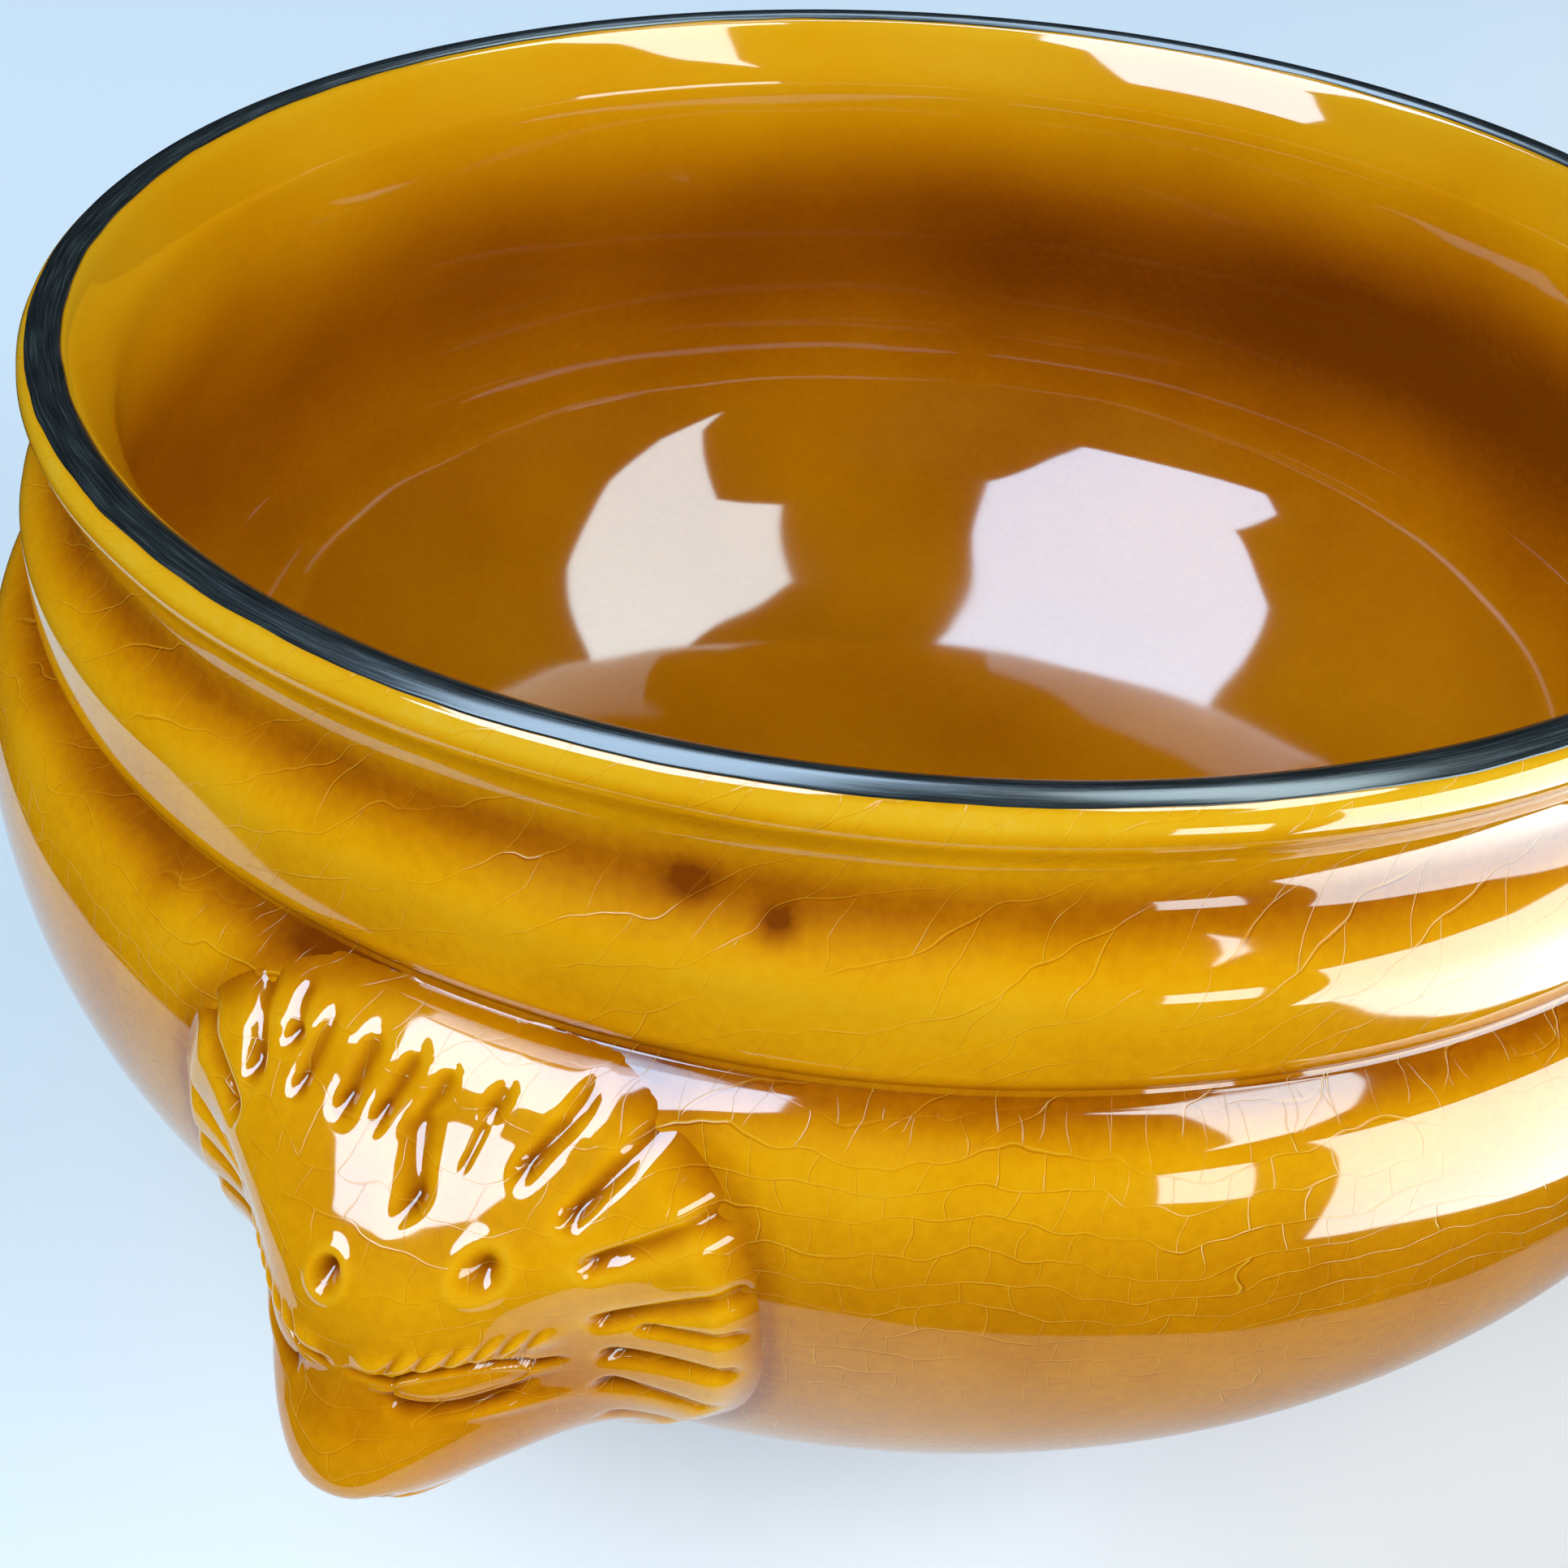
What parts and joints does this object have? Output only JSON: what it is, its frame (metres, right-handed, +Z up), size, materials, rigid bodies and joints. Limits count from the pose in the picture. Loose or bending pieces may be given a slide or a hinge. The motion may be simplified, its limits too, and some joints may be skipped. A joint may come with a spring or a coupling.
{
  "type": "onion soup crock",
  "caption": "Round bellied earthenware soup crock with a moulded neck, amber glaze, a dark band round the lip and a lion's head handle on each side.",
  "frame": {"origin": "on the axis of the bowl, in the plane that the foot ring stands on", "axes": "+Z up along the bowl's axis, +X out of the right lion's head"},
  "size_m": [0.1682, 0.1424, 0.075],
  "materials": {
    "clay": "fired buff earthenware, matt",
    "foot_glaze": "amber glaze over buff clay, wiped bare where it stands",
    "outer_glaze": "glossy amber glaze with fine crazing, darker where it pools",
    "inner_glaze": "glossy deep amber glaze",
    "rim_slip": "glossy blue-black slip",
    "head_glaze": "glossy amber glaze, pooled in the carving"
  },
  "bodies": {
    "root": {"bowl_body": "clay", "foot_ring": "foot_glaze", "glaze_coat": "outer_glaze", "glaze_lining": "inner_glaze", "rim_band": "rim_slip", "lion_head_left": "head_glaze", "lion_head_right": "head_glaze"}
  },
  "joints": []
}
